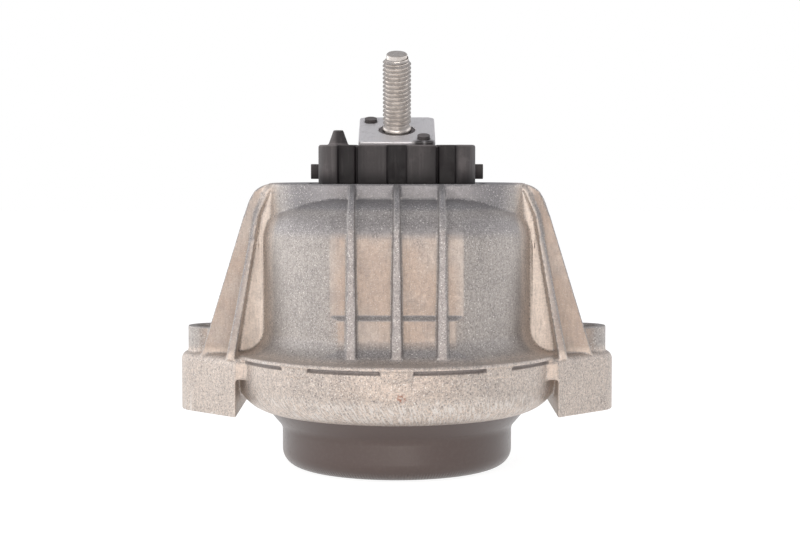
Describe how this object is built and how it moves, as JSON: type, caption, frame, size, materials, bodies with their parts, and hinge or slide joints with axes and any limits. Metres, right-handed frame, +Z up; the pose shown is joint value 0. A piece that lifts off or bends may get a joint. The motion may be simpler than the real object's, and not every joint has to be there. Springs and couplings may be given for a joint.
{
  "type": "engine mount",
  "caption": "Hydraulic engine mount: cast domed housing with two bolt ears and ribs, leaning threaded stud in a rubber-collared core, and a pressed steel cup below.",
  "frame": {"origin": "centre of the cup's flat bottom", "axes": "+Z up towards the stud, +X through the two bolt bosses, -Y the side the stud leans to"},
  "size_m": [0.1556, 0.1194, 0.148],
  "materials": {
    "cast_aluminium": "as cast, shot blasted",
    "machined_aluminium": "machined, satin",
    "zinc_steel": "zinc plated",
    "plain_steel": "plain",
    "coated_steel": "satin dip coat",
    "black_rubber": "moulded, dull"
  },
  "bodies": {
    "root": {"housing": "cast_aluminium", "inner_core": "machined_aluminium", "stud": "zinc_steel", "gate_plugs": "black_rubber", "stop_buffer": "black_rubber", "spring_outer_ring": "plain_steel", "main_spring": "black_rubber", "rebound_pad": "black_rubber", "lower_channel_plate": "machined_aluminium", "upper_channel_plate": "machined_aluminium", "decoupler_membrane": "black_rubber", "bellows": "black_rubber", "bellows_ring": "plain_steel", "base_cup": "coated_steel"}
  },
  "joints": []
}
